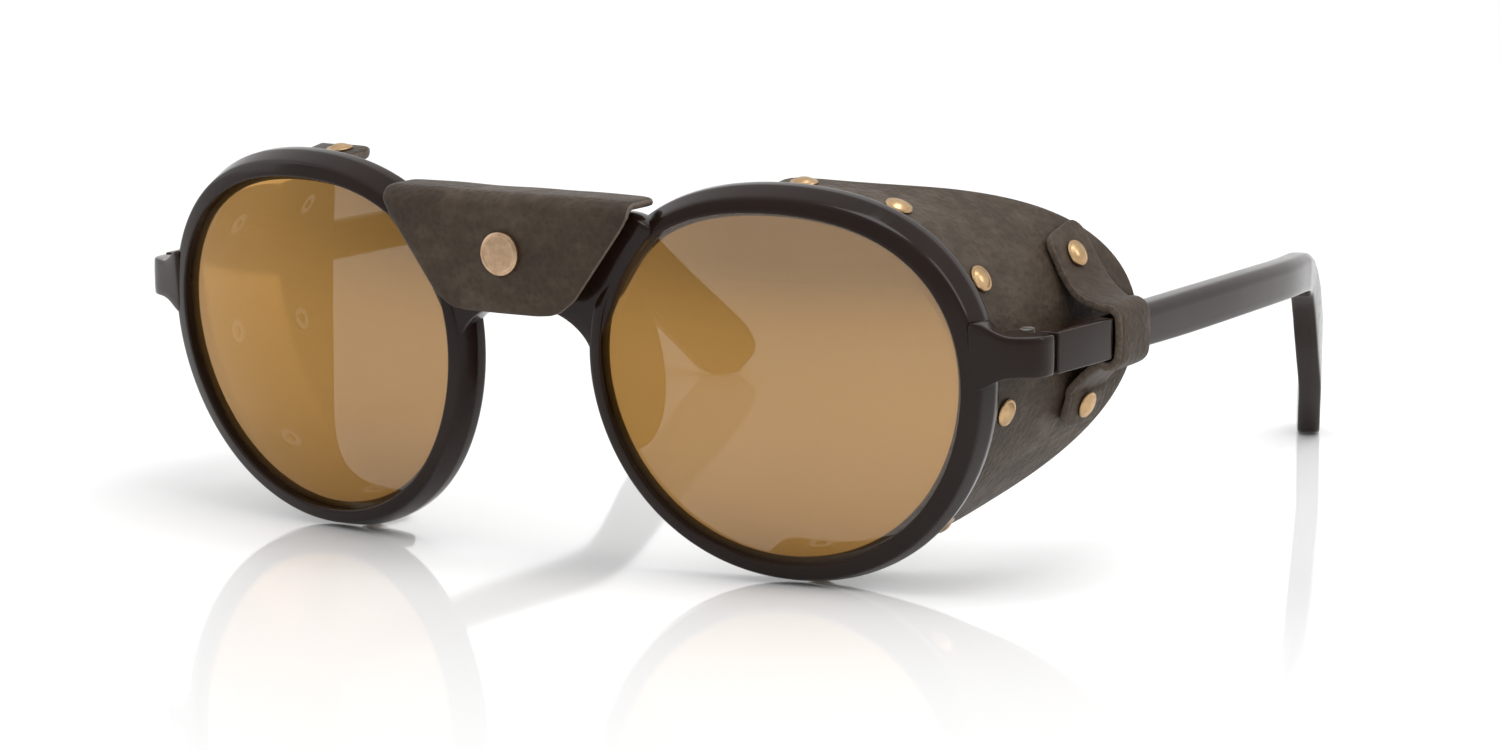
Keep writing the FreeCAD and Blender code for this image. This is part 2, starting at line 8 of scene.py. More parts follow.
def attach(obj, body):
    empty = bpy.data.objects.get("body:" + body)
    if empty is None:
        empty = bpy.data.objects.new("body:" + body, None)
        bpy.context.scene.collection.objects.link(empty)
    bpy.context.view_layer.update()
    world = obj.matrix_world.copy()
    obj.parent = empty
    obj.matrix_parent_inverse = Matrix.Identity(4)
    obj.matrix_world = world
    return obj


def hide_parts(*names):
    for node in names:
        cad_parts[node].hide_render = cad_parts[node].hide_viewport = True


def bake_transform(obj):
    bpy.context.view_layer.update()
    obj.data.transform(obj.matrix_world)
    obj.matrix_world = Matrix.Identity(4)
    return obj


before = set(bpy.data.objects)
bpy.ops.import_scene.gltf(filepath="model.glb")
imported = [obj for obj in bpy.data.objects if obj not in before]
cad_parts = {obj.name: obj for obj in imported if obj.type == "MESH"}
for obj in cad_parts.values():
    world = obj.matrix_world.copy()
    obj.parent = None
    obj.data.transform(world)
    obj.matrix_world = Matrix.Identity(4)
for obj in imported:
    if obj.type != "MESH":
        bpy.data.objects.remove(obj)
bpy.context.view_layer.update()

# ---- Acetate ----------------------------------------------------------------------
# The front, the temples and the nose pads are cut from very dark brown cellulose acetate
# sheet and tumbled and buffed to a deep polish, with faint hairlines left by the buffing.


class Link:
    """One output of a finish's nodes; arithmetic on it adds Math nodes."""

    def __init__(self, finish, socket):
        self.finish = finish
        self.socket = socket

    def maths(self, operation, first, second):
        return self.finish.node("ShaderNodeMath", {"operation": operation}, {0: first, 1: second})

    def __add__(self, other):
        return self.maths("ADD", self, other)

    def __radd__(self, other):
        return self.maths("ADD", other, self)

    def __sub__(self, other):
        return self.maths("SUBTRACT", self, other)

    def __rsub__(self, other):
        return self.maths("SUBTRACT", other, self)

    def __mul__(self, other):
        return self.maths("MULTIPLY", self, other)

    def __rmul__(self, other):
        return self.maths("MULTIPLY", other, self)


class Finish:
    """A material under construction."""

    def __init__(self, name):
        self.material = bpy.data.materials.new(name)
        self.material.use_nodes = True
        self.tree = self.material.node_tree
        self.tree.nodes.clear()

    def node(self, kind, settings, sockets, out=0):
        made = self.tree.nodes.new(kind)
        for key, value in settings.items():
            setattr(made, key, value)
        for key, value in sockets.items():
            if isinstance(value, Link):
                self.tree.links.new(value.socket, made.inputs[key])
            else:
                made.inputs[key].default_value = value
        return Link(self, made.outputs[out])

    def place(self):
        return self.node("ShaderNodeTexCoord", {}, {}, out=3)

    def stretched(self, scale):
        return self.node("ShaderNodeMapping", {}, {"Vector": self.place(), "Scale": scale})

    def noise(self, scale, detail=3.0, rough=0.5, vector=None):
        sockets = {"Vector": vector or self.place(), "Scale": scale, "Detail": detail, "Roughness": rough}
        return self.node("ShaderNodeTexNoise", {}, sockets)

    def ramp(self, value, low, high):
        sockets = {"Value": value, "From Min": low, "From Max": high}
        return self.node("ShaderNodeMapRange", {}, sockets)

    def mix(self, factor, first, second):
        return self.node("ShaderNodeMix", {"data_type": "RGBA"}, {0: factor, 6: first, 7: second}, out=2)

    def bump(self, height, distance, strength=1.0, under=None):
        sockets = {"Height": height, "Distance": distance, "Strength": strength}
        if under:
            sockets["Normal"] = under
        return self.node("ShaderNodeBump", {}, sockets)

    def surface(self, sockets):
        shader = self.node("ShaderNodeBsdfPrincipled", {}, sockets)
        output = self.tree.nodes.new("ShaderNodeOutputMaterial")
        self.tree.links.new(shader.socket, output.inputs["Surface"])
        return self.material


def make_acetate():
    finish = Finish("polished_acetate")
    cloud = finish.noise(60.0, 4.0, 0.6)
    colour = finish.mix(finish.ramp(cloud, 0.35, 0.7), (0.0120, 0.0060, 0.0041, 1), (0.0175, 0.0092, 0.0066, 1))
    hairs = finish.noise(900.0, 2.0, 0.6, finish.stretched((1.0, 0.12, 1.0)))
    rough = 0.11 + 0.07 * finish.ramp(hairs, 0.45, 0.75) + 0.04 * cloud
    normal = finish.bump(finish.noise(220.0, 2.0), 0.00004, 0.35)
    return finish.surface({"Base Color": colour, "Roughness": rough, "Normal": normal,
                           "IOR": 1.28})


acetate = make_acetate()

# ---- Front: rims ------------------------------------------------------------------
# Two round rims in one piece with the bridge and the endpieces. Each rim wraps back at
# its outer side, leans forward at the brow and carries a polished bevel round its edge.
ORIGIN_Y = 72.2
WRAP = radians(8.6)
TILT = radians(7.0)
BASE_CURVE = 83.0
FRONT_SPHERE = BASE_CURVE + 1.3
BACK_SPHERE = BASE_CURVE - 3.0
EYE_CENTRE = Vector((38.1, -0.9 - ORIGIN_Y, 27.28))
AXIS_U = Vector((cos(WRAP), sin(WRAP), 0))
AXIS_V = Vector((sin(TILT) * sin(WRAP), -sin(TILT) * cos(WRAP), cos(TILT)))
AXIS_N = Vector((-cos(TILT) * sin(WRAP), cos(TILT) * cos(WRAP), sin(TILT)))
BEVEL_WIDTH = 1.15
BEVEL_DEPTH = 2.3
RIM_STEPS = 120


def eye_radius(angle):
    """Radius of the visible opening; angle in degrees, 0 towards the temple, 90 up."""
    a = radians(angle)
    return 25.2 + 0.57 * cos(2 * a) - 0.17 * sin(2 * a) + 0.62 * sin(3 * a) - 0.26 * cos(4 * a)


def rim_radius(angle):
    a = radians(angle)
    return eye_radius(angle) + 3.25 + 0.5 * cos(a) - 0.02 * sin(a)


def eye_point(radius, angle, n):
    a = radians(angle)
    return EYE_CENTRE + AXIS_U * (radius * cos(a)) + AXIS_V * (radius * sin(a)) + AXIS_N * n


def on_sphere(radius, angle, sphere):
    """A point at a radius from the eye's axis on a sphere about the lens's centre."""
    return eye_point(radius, angle, BASE_CURVE - sqrt(sphere * sphere - radius * radius))


def skin(rings, closed=False, caps=True, mark=None):
    """Faces over rings of points in millimetres; mark gives a face's material number."""
    mesh = bmesh.new()
    rows = [[mesh.verts.new(p * 0.001) for p in ring] for ring in rings]
    count = len(rows[0])
    last = len(rows) if closed else len(rows) - 1
    for i in range(last):
        here = rows[i]
        there = rows[(i + 1) % len(rows)]
        for j in range(count):
            k = (j + 1) % count
            face = mesh.faces.new((here[j], there[j], there[k], here[k]))
            face.smooth = True
            if mark:
                face.material_index = mark(i, j)
    if caps and not closed:
        for end, row in ((-1, rows[0]), (-2, rows[-1][::-1])):
            face = mesh.faces.new(row)
            face.smooth = True
            if mark:
                face.material_index = mark(end, 0)
    bmesh.ops.recalc_face_normals(mesh, faces=mesh.faces)
    return mesh


def piece(name, meshes, materials, body, rounds=0, sharp=None):
    """One object from several bmesh shells, with its finishes, riding on a body."""
    data = bpy.data.meshes.new(name)
    whole = bmesh.new()
    for mesh in meshes:
        part = bpy.data.meshes.new("part")
        mesh.to_mesh(part)
        mesh.free()
        whole.from_mesh(part)
        bpy.data.meshes.remove(part)
    whole.to_mesh(data)
    whole.free()
    made = bpy.data.objects.new(name, data)
    bpy.context.scene.collection.objects.link(made)
    for material in materials:
        data.materials.append(material)
    if rounds:
        subdivision = made.modifiers.new("rounding", "SUBSURF")
        subdivision.levels = rounds
        subdivision.render_levels = rounds
    if sharp:
        data.set_sharp_from_angle(angle=radians(sharp))
    if body:
        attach(made, body)
    return made


def flipped(point, side):
    return Vector((point.x * side, point.y, point.z))


def rim_rings(side):
    rings = []
    for i in range(RIM_STEPS):
        angle = 360.0 * i / RIM_STEPS
        inner = eye_radius(angle)
        outer = rim_radius(angle)
        face = FRONT_SPHERE
        low = FRONT_SPHERE - BEVEL_DEPTH
        profile = [
            (inner + 0.55, face), (inner + 0.22, face - 0.04), (inner + 0.05, face - 0.2),
            (inner, face - 0.5), (inner, BACK_SPHERE + 0.5), (inner + 0.08, BACK_SPHERE + 0.12),
            (inner + 0.45, BACK_SPHERE), (outer - 0.5, BACK_SPHERE),
            (outer - 0.08, BACK_SPHERE + 0.12), (outer, BACK_SPHERE + 0.5), (outer, low - 0.35),
            (outer - 0.02, low - 0.06), (outer - 0.12, low + 0.16),
            (outer - BEVEL_WIDTH + 0.14, face - 0.2), (outer - BEVEL_WIDTH - 0.02, face - 0.03),
            (outer - BEVEL_WIDTH - 0.4, face),
        ]
        rings.append([flipped(on_sphere(r, angle, s), side) for r, s in profile])
    return rings


# The bridge joins the rims above the nose; its underside is an arch that runs down into
# the nose sides of the rims.
BRIDGE_TOP = 50.2
BRIDGE_UNDER = 36.2
BRIDGE_FRONT = -3.3 - ORIGIN_Y
BRIDGE_BACK = 1.2 - ORIGIN_Y
ARCH_HALF = 10.9
ARCH_DEPTH = 7.2


def rounded_ring(low, high, round_by, place):
    """Points round a rectangle with soft corners; place turns its two measures into a point."""
    corners = [(low[0], low[1]), (high[0], low[1]), (high[0], high[1]), (low[0], high[1])]
    ring = []
    for i, (a, b) in enumerate(corners):
        for turn in (0.0, 0.5, 1.0):
            angle = (i + turn) * pi / 2 + pi
            centre_a = a + (round_by if i in (0, 3) else -round_by)
            centre_b = b + (round_by if i in (0, 1) else -round_by)
            ring.append(place(centre_a + round_by * cos(angle), centre_b + round_by * sin(angle)))
    return ring


def bridge_rings():
    arch = [pi / 2 * i / 12 for i in range(-12, 13)]
    stations = [(ARCH_HALF * sin(a), BRIDGE_UNDER - ARCH_DEPTH * (1 - cos(a))) for a in arch]
    hidden = [(11.6, 30.6), (12.6, 33.2), (14.0, 36.2), (16.0, 40.8), (18.0, 43.6), (20.0, 46.2), (21.4, 47.4)]
    stations = [(-x, z) for x, z in reversed(hidden)] + stations + hidden
    rings = []
    for x, under in stations:
        top = BRIDGE_TOP - 0.09 * max(0.0, abs(x) - 17.0) ** 2
        rings.append(rounded_ring((BRIDGE_FRONT, under), (BRIDGE_BACK, top), 0.7,
                                  lambda y, z: Vector((x, y + 0.123 * (43.0 - z), z))))
    return rings


def prism(plan, low, high, soft, side, segments=3):
    """An upright block on a plan of (x, y) corners, with its edges eased."""
    mesh = bmesh.new()
    base = [mesh.verts.new(Vector((x * side, y - ORIGIN_Y, low)) * 0.001) for x, y in plan]
    floor = mesh.faces.new(base)
    grown = bmesh.ops.extrude_face_region(mesh, geom=[floor])
    rise = [v for v in grown["geom"] if isinstance(v, bmesh.types.BMVert)]
    bmesh.ops.translate(mesh, verts=rise, vec=Vector((0, 0, (high - low) * 0.001)))
    bmesh.ops.recalc_face_normals(mesh, faces=mesh.faces)
    bmesh.ops.bevel(mesh, geom=list(mesh.edges), offset=soft * 0.001, segments=segments,
                    affect="EDGES", profile=0.5, clamp_overlap=True)
    for face in mesh.faces:
        face.smooth = True
    return mesh


# Each endpiece flows out of the rim's face, turns a corner and ends square at the hinge:
# its outer corner, its inner corner and its lowest and highest points along the way.
ENDPIECE = [
    (63.6, 5.20, 63.6, 9.4, 28.3, 38.3), (65.2, 5.95, 65.0, 10.0, 28.6, 38.0),
    (66.4, 6.52, 65.7, 10.7, 29.3, 37.2), (67.6, 7.12, 65.9, 11.3, 30.1, 36.4),
    (69.0, 7.85, 66.0, 11.8, 30.5, 36.0), (70.6, 8.72, 66.0, 12.2, 30.5, 36.0),
    (71.8, 9.50, 66.0, 12.6, 30.5, 36.0), (72.6, 10.5, 66.0, 12.9, 30.5, 36.0),
    (72.95, 11.7, 66.0, 13.3, 30.5, 36.0), (73.0, 13.0, 66.0, 13.6, 30.5, 36.0),
    (73.0, 13.85, 66.0, 13.85, 30.5, 36.0),
]


def endpiece_rings(side):
    rings = []
    for i, (x, y, inner_x, inner_y, low, high) in enumerate(ENDPIECE):
        outer = Vector((x, y - ORIGIN_Y, 0))
        across = Vector((inner_x, inner_y - ORIGIN_Y, 0)) - outer
        lean = 0.123 * max(0.0, 1 - i / 6)

        def place(a, z):
            spot = outer + across.normalized() * a
            return flipped(Vector((spot.x, spot.y - lean * (z - 33.3), z)), side)

        rings.append(rounded_ring((0.0, low), (across.length, high), 0.4, place))
    return rings


def subdivided(mesh, rounds):
    """The same shell after rounds of subdivision, so that it can join crisp shells."""
    data = bpy.data.meshes.new("part")
    mesh.to_mesh(data)
    mesh.free()
    holder = bpy.data.objects.new("part", data)
    bpy.context.scene.collection.objects.link(holder)
    modifier = holder.modifiers.new("rounding", "SUBSURF")
    modifier.levels = rounds
    bpy.context.view_layer.update()
    graph = bpy.context.evaluated_depsgraph_get()
    smooth = bmesh.new()
    smooth.from_object(holder, graph)
    bpy.data.objects.remove(holder)
    bpy.data.meshes.remove(data)
    for face in smooth.faces:
        face.smooth = True
    return smooth


front_shells = [subdivided(skin(rim_rings(side), closed=True), 1) for side in (1, -1)]
front_shells.append(subdivided(skin(bridge_rings()), 1))
front_shells += [subdivided(skin(endpiece_rings(side)), 1) for side in (1, -1)]
front_piece = piece("acetate_front", front_shells, [acetate], "front")
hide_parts("front_frame")

# ---- Nose pads --------------------------------------------------------------------
# Solid acetate pads grown from the nose side of each rim; they open outwards going back,
# to lie along the sides of the nose, and are rounded off all round.


def nose_pad(side):
    rings = []
    steps = 18
    for i in range(steps + 1):
        part = -1 + 2 * i / steps
        angle = 181.0 + 27.0 * part
        swell = sqrt(max(0.03, 1.0 - part * part))
        outer = rim_radius(angle) - 0.3
        back = BASE_CURVE - sqrt(BACK_SPHERE ** 2 - outer * outer)
        root = 2.4
        depth = 5.1 * swell
        spread = 5.5 * swell
        profile = [(outer, back - 0.4), (outer - root / 2, back - 0.4), (outer - root, back - 0.4),
                   (outer - root - spread * 0.5, back + depth * 0.38),
                   (outer - root - spread * 0.95, back + depth - 1.3 * swell),
                   (outer - root - spread * 0.98, back + depth - 0.35 * swell),
                   (outer - root - spread * 0.85 + 0.5, back + depth),
                   (outer - root * 0.4 - spread * 0.45, back + depth * 0.62)]
        rings.append([flipped(eye_point(r, angle, n), side) for r, n in profile])
    return rings


for side, word in ((1, "left"), (-1, "right")):
    pad = piece("acetate_nose_pad_" + word, [skin(nose_pad(side))], [acetate], "front", rounds=2)
    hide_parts("nose_pad_" + word)

# ---- Lenses -----------------------------------------------------------------------
# Brown mineral lenses, two millimetres thick, with a warm gold mirror coat on the front
# that lets little through; their edges sit in the rims' grooves.


def make_mirror():
    finish = Finish("gold_mirror_coat")
    haze = finish.noise(14.0, 2.0, 0.5)
    colour = finish.mix(finish.ramp(haze, 0.3, 0.7), (0.325, 0.170, 0.040, 1), (0.375, 0.200, 0.052, 1))
    rough = 0.06 + 0.03 * finish.noise(700.0, 2.0)
    return finish.surface({"Base Color": colour, "Roughness": rough, "Metallic": 0.85, "Alpha": 0.86,
                           "IOR": 1.5})


def make_tint():
    finish = Finish("brown_mineral_glass")
    haze = finish.noise(20.0, 2.0, 0.5)
    colour = finish.mix(haze, (0.10, 0.045, 0.014, 1), (0.13, 0.06, 0.02, 1))
    return finish.surface({"Base Color": colour, "Roughness": 0.05 + 0.02 * haze, "Alpha": 0.48, "IOR": 1.5})


mirror_coat = make_mirror()
tint = make_tint()


BACK_RINGS = 14


def lens_rings(side):
    """From the middle of the back, over the edge, to the middle of the front."""
    steps = 96
    shares = [k / BACK_RINGS for k in range(1, BACK_RINGS)] + [0.985]
    profile = [(share, BASE_CURVE - 2.0) for share in shares]
    profile += [(1.0, BASE_CURVE - 1.7), (1.0, BASE_CURVE - 0.3)]
    profile += [(share, BASE_CURVE) for share in reversed(shares)]
    rings = []
    for share, sphere in profile:
        ring = []
        for i in range(steps):
            angle = 360.0 * i / steps
            radius = (eye_radius(angle) + 0.65) * share
            ring.append(flipped(on_sphere(radius, angle, sphere), side))
        rings.append(ring)
    return rings


for side, word in ((1, "left"), (-1, "right")):
    shell = skin(lens_rings(side), mark=lambda i, j: 1 if -2 < i <= BACK_RINGS else 0)
    lens = piece("mirror_lens_" + word, [shell], [mirror_coat, tint], "front", sharp=40)
    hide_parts("lens_" + word)

# ---- Leather ----------------------------------------------------------------------
# Dark brown pebbled cowhide. Its cut edges are burnished and show a paler, fibrous hide;
# the grain is rubbed lighter where it stands proud.


def make_leather():
    finish = Finish("pebbled_leather")
    cells = finish.node("ShaderNodeTexVoronoi", {"feature": "SMOOTH_F1"},
                        {"Vector": finish.place(), "Scale": 1050.0, "Smoothness": 0.5})
    fine = finish.noise(2600.0, 3.0, 0.6)
    creases = finish.noise(260.0, 5.0, 0.65, finish.stretched((1.0, 1.0, 1.6)))
    patches = finish.noise(45.0, 4.0, 0.6)
    height = (1.0 - cells) * 0.8 + 0.35 * fine + 0.9 * creases
    dark = (0.023, 0.0136, 0.0072, 1)
    pale = (0.054, 0.0345, 0.0195, 1)
    tone = finish.ramp(0.55 * patches + 0.30 * creases + 0.15 * cells, 0.32, 0.62)
    colour = finish.mix(tone, dark, pale)
    worn = finish.ramp(creases * patches, 0.24, 0.42)
    colour = finish.mix(0.5 * worn, colour, (0.085, 0.064, 0.046, 1))
    rough = 0.50 + 0.16 * fine - 0.10 * worn
    normal = finish.bump(height, 0.00017, 0.85)
    return finish.surface({"Base Color": colour, "Roughness": rough, "Normal": normal, "IOR": 1.36,
                           "Sheen Weight": 0.03, "Sheen Roughness": 0.4})


def make_cut_edge():
    finish = Finish("burnished_leather_edge")
    fibres = finish.noise(1800.0, 4.0, 0.7)
    colour = finish.mix(finish.ramp(fibres, 0.3, 0.7), (0.060, 0.043, 0.031, 1), (0.155, 0.118, 0.088, 1))
    normal = finish.bump(fibres, 0.00006, 0.6)
    return finish.surface({"Base Color": colour, "Roughness": 0.55 + 0.2 * fibres, "Normal": normal})


leather = make_leather()
cut_edge = make_cut_edge()

# ---- Side shields -----------------------------------------------------------------
# One piece of leather for each eye, formed round the back of the rim from brow to cheek
# and held there by a hidden band and six rivets; its back edge is cut in one sweep.
SHIELD_HALF = 0.75
SHIELD_START = 7.55
SHIELD_LOW = -101.0
SHIELD_TOP = 97.0


def shield_slope(angle):
    return 0.28 * max(0.05, cos(radians(angle + 9.0))) ** 2.1


def shield_end(angle):
    return SHIELD_START + 9.0 + 28.4 * max(0.0, cos(radians(angle - 4.0))) ** 2.65


def shield_point(angle, n, offset=0.0):
    seat = 1.25 - 0.35 * sin(radians(angle))
    radius = eye_radius(angle) + seat + shield_slope(angle) * (n - SHIELD_START) + offset
    return eye_point(radius, angle, n)


def shield_start(angle):
    radius = eye_radius(angle) + 1.25 - 0.35 * sin(radians(angle)) + SHIELD_HALF
    return BASE_CURVE - sqrt(BACK_SPHERE ** 2 - radius * radius) + 0.06


def shield_rings(side):
    steps = 66
    along = 16
    rings = []
    for i in range(steps + 1):
        angle = SHIELD_LOW + (SHIELD_TOP - SHIELD_LOW) * i / steps
        start = shield_start(angle)
        end = shield_end(angle)
        from_end = min(angle - SHIELD_LOW, SHIELD_TOP - angle) * 0.44
        if from_end < 2.2:
            end -= 2.2 - sqrt(max(0.0, 2.2 ** 2 - (2.2 - from_end) ** 2))
        outside = []
        inside = []
        for k in range(along + 1):
            share = k / along
            n = start + 0.5 + (end - start - 1.0) * share
            here = shield_point(angle, n) * 0.06
            swell = 0.45 * noise.noise(here) * min(1.0, share * 3) * min(1.0, (n - start) / 12)
            outside.append(shield_point(angle, n, SHIELD_HALF + swell))
            inside.append(shield_point(angle, n, swell - SHIELD_HALF))
        tip = [shield_point(angle, end - 0.16, SHIELD_HALF - 0.16), shield_point(angle, end, 0.3),
               shield_point(angle, end, -0.3), shield_point(angle, end - 0.16, 0.16 - SHIELD_HALF)]
        root = [shield_point(angle, start, -SHIELD_HALF + 0.2), shield_point(angle, start, SHIELD_HALF - 0.2)]
        ring = outside + tip + inside[::-1] + root
        rings.append([flipped(p, side) for p in ring])
    return rings, along


for side, word in ((1, "left"), (-1, "right")):
    rings, along = shield_rings(side)
    edge_faces = range(along + 1, along + 4)
    shell = skin(rings, mark=lambda i, j: 1 if i < 0 or j in edge_faces else 0)
    shield = piece("leather_shield_" + word, [shell], [leather, cut_edge], None, rounds=1)
    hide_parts("side_shield_" + word)
    crease_start = flipped(eye_point(26.8, 0.0, SHIELD_START + 9.4), side) * 0.001
    crease_end = flipped(eye_point(26.8, 0.0, SHIELD_START + 19.4), side) * 0.001
    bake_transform(shield)

# ---- Rivets -----------------------------------------------------------------------
# Aged brass rivets with a low dome and a turned-down lip hold the leather to the rims.


def make_brass():
    finish = Finish("aged_brass")
    tarnish = finish.noise(650.0, 4.0, 0.6)
    spots = finish.ramp(finish.noise(240.0, 3.0, 0.6), 0.45, 0.68)
    colour = finish.mix(finish.ramp(tarnish, 0.35, 0.7), (0.44, 0.285, 0.145, 1), (0.58, 0.39, 0.21, 1))
    colour = finish.mix(0.5 * spots, colour, (0.23, 0.145, 0.08, 1))
    rough = 0.24 + 0.14 * tarnish + 0.12 * spots
    normal = finish.bump(finish.noise(1500.0, 2.0), 0.00002, 0.3)
    return finish.surface({"Base Color": colour, "Metallic": 1.0, "Roughness": rough, "Normal": normal})


brass = make_brass()


def turned(profile, centre, axis, side, steps=40):
    """A lathe-turned solid: (radius, height) pairs from the axis outwards and back to it."""
    across = axis.orthogonal().normalized()
    other = axis.cross(across).normalized()
    rings = []
    for radius, height in profile:
        ring = []
        for i in range(steps):
            a = 2 * pi * i / steps
            spot = centre + axis * height + (across * cos(a) + other * sin(a)) * radius
            ring.append(flipped(spot, side))
        rings.append(ring)
    return skin(rings)


DOME = [(0.02, -1.9), (0.8, -1.9), (0.8, 0.02), (1.78, 0.02), (1.88, 0.1), (1.9, 0.24), (1.8, 0.4),
        (1.62, 0.44), (1.5, 0.4), (1.38, 0.46), (1.1, 0.66), (0.75, 0.8), (0.4, 0.87), (0.02, 0.9)]
RIVET_ANGLES = [87.5, 57.5, 28.0, -9.0, -48.0, -87.0]


def rivet_axis(angle, n):
    backwards = shield_point(angle, n + 1) - shield_point(angle, n - 1)
    around = shield_point(angle + 1, n) - shield_point(angle - 1, n)
    return shield_point(angle, n), backwards.cross(around).normalized()


for side, word in ((1, "left"), (-1, "right")):
    domes = []
    for angle in RIVET_ANGLES:
        middle, normal = rivet_axis(angle, SHIELD_START + 5.4)
        domes.append(turned(DOME, middle + normal * SHIELD_HALF, normal, side))
    rivets = piece("brass_shield_rivets_" + word, domes, [brass], "front", sharp=35)
    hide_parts("shield_rivets_" + word)

# ---- Bridge flap and its stud -----------------------------------------------------
# A leather flap folded over the bridge: its front hangs clear of the frame and one brass
# stud with a bevelled cap goes through it into the bridge.
FLAP_FRONT = -7.2
FLAP_TOP = 52.1
FLAP_LOW = 35.6
FLAP_THICKNESS = 1.4
FLAP_BEND = 2.4
FLAP_BACK = 1.2


def flap_half_width(z):
    """Half the width of the flap at a height on its hanging front."""
    stops = [(FLAP_LOW, 7.0), (36.2, 8.8), (38.0, 11.2), (48.3, 18.7), (50.0, 19.7), (60.0, 19.8)]
    for (z0, w0), (z1, w1) in zip(stops, stops[1:]):
        if z <= z1:
            share = max(0.0, (z - z0) / (z1 - z0))
            return w0 + (w1 - w0) * share
    return stops[-1][1]


def flap_path():
    """(y, z, outward direction) down the middle of the leather's outer face."""
    path = []
    centre_z = FLAP_TOP - FLAP_BEND
    for k in range(23):
        z = FLAP_LOW + (centre_z - FLAP_LOW) * k / 22
        path.append((FLAP_FRONT, z, (-1.0, 0.0)))
    for k in range(1, 9):
        a = pi / 2 * k / 8
        path.append((FLAP_FRONT + FLAP_BEND * (1 - cos(a)), centre_z + FLAP_BEND * sin(a), (-cos(a), sin(a))))
    flat = FLAP_BACK - FLAP_FRONT - FLAP_BEND
    for k in range(1, 6):
        path.append((FLAP_FRONT + FLAP_BEND + flat * k / 5, FLAP_TOP, (0.0, 1.0)))
    return path


def flap_rings():
    columns = 28
    rings = []
    path = flap_path()
    for index, (y, z, (oy, oz)) in enumerate(path):
        half = flap_half_width(z)
        from_low = z - FLAP_LOW if index < 22 else 9.0
        from_back = (FLAP_BACK - y) if index > 30 else 9.0
        soft = min(1.0, min(from_low, from_back) / 0.3 + 0.25)
        front_face = []
        back_face = []
        for k in range(columns + 1):
            share = -1 + 2 * k / columns
            x = half * share
            wave = 0.16 * noise.noise(Vector((x * 0.12, z * 0.12, 3.0)))
            near_stud = sqrt(x * x + (z - 43.9) ** 2) if index < 22 else 20.0
            dimple = -0.22 * max(0.0, 1 - near_stud / 6.0) ** 2
            ease = 0.18 * (1 - soft)
            edge = 0.12 if k in (0, columns) else 0.0
            out = wave + dimple - ease - edge
            back = -FLAP_THICKNESS + wave * 0.5 + dimple * 0.3 + ease + edge
            front_face.append(Vector((x, y + oy * out - ORIGIN_Y, z + oz * out)))
            back_face.append(Vector((x, y + oy * back - ORIGIN_Y, z + oz * back)))
        rings.append(front_face + back_face[::-1])
    return rings, columns


rings, columns = flap_rings()
side_faces = (columns, 2 * columns + 1)
flap = piece("leather_bridge_flap", [skin(rings, mark=lambda i, j: 1 if i < 0 or j in side_faces else 0)],
             [leather, cut_edge], "front", rounds=1)
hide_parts("bridge_flap")


def make_stud_brass():
    finish = Finish("rose_brass_stud")
    brushed = finish.noise(900.0, 3.0, 0.6)
    colour = finish.mix(finish.ramp(brushed, 0.35, 0.7), (0.40, 0.265, 0.165, 1), (0.52, 0.36, 0.235, 1))
    normal = finish.bump(finish.noise(420.0, 2.0), 0.00003, 0.3)
    return finish.surface({"Base Color": colour, "Metallic": 1.0, "Roughness": 0.26 + 0.10 * brushed, "Normal": normal})


STUD_CAP = [(0.02, -9.4), (1.2, -9.4), (1.2, -3.8), (1.9, -3.8), (1.9, -1.4), (1.2, -1.4), (1.2, 0.0), (2.9, 0.0),
            (3.0, 0.08), (3.0, 0.42), (2.94, 0.56), (2.62, 0.76), (2.5, 0.78), (2.38, 0.72), (1.6, 0.76), (0.02, 0.8)]
stud = piece("brass_bridge_stud", [turned(STUD_CAP, Vector((0, FLAP_FRONT - ORIGIN_Y, 43.9)), Vector((0, -1, 0)), 1, 64)],
             [make_stud_brass()], "front", sharp=25)
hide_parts("bridge_stud")

# ---- Temples ----------------------------------------------------------------------
# Flat acetate arms bevelled along the top, bent down and inwards behind the ear, with a
# raised block at the front that covers the hinge leaf's tang.
ARM_STATIONS = [
    (73.0, 13.95, 33.35, 5.4, 0), (73.2, 22.0, 33.3, 5.5, 0), (73.4, 30.0, 33.3, 5.6, 0),
    (73.8, 52.0, 33.1, 5.9, 0), (73.6, 75.0, 32.9, 5.8, 1), (71.9, 95.0, 32.2, 5.7, 3),
    (68.6, 110.0, 31.1, 5.8, 6), (66.2, 117.5, 29.9, 6.2, 14), (64.9, 121.6, 28.0, 7.0, 29),
    (63.8, 125.4, 24.9, 8.4, 42), (62.6, 129.4, 20.4, 9.8, 45), (60.7, 135.0, 14.8, 10.4, 44),
    (58.3, 140.8, 9.2, 10.8, 44), (56.1, 146.0, 4.1, 11.0, 44), (54.6, 149.4, 0.8, 9.6, 44),
]
ARM_THICKNESS = 3.7


def flowing(rows, steps):
    """Smooth in-between rows of numbers through the given ones."""
    made = []
    for i in range(len(rows) - 1):
        before = rows[max(i - 1, 0)]
        start = rows[i]
        end = rows[i + 1]
        after = rows[min(i + 2, len(rows) - 1)]
        for k in range(steps):
            t = k / steps
            row = []
            for a, b, c, d in zip(before, start, end, after):
                row.append(0.5 * (2 * b + (c - a) * t + (2 * a - 5 * b + 4 * c - d) * t * t
                                  + (3 * b - a - 3 * c + d) * t ** 3))
            made.append(row)
    made.append(list(rows[-1]))
    return made


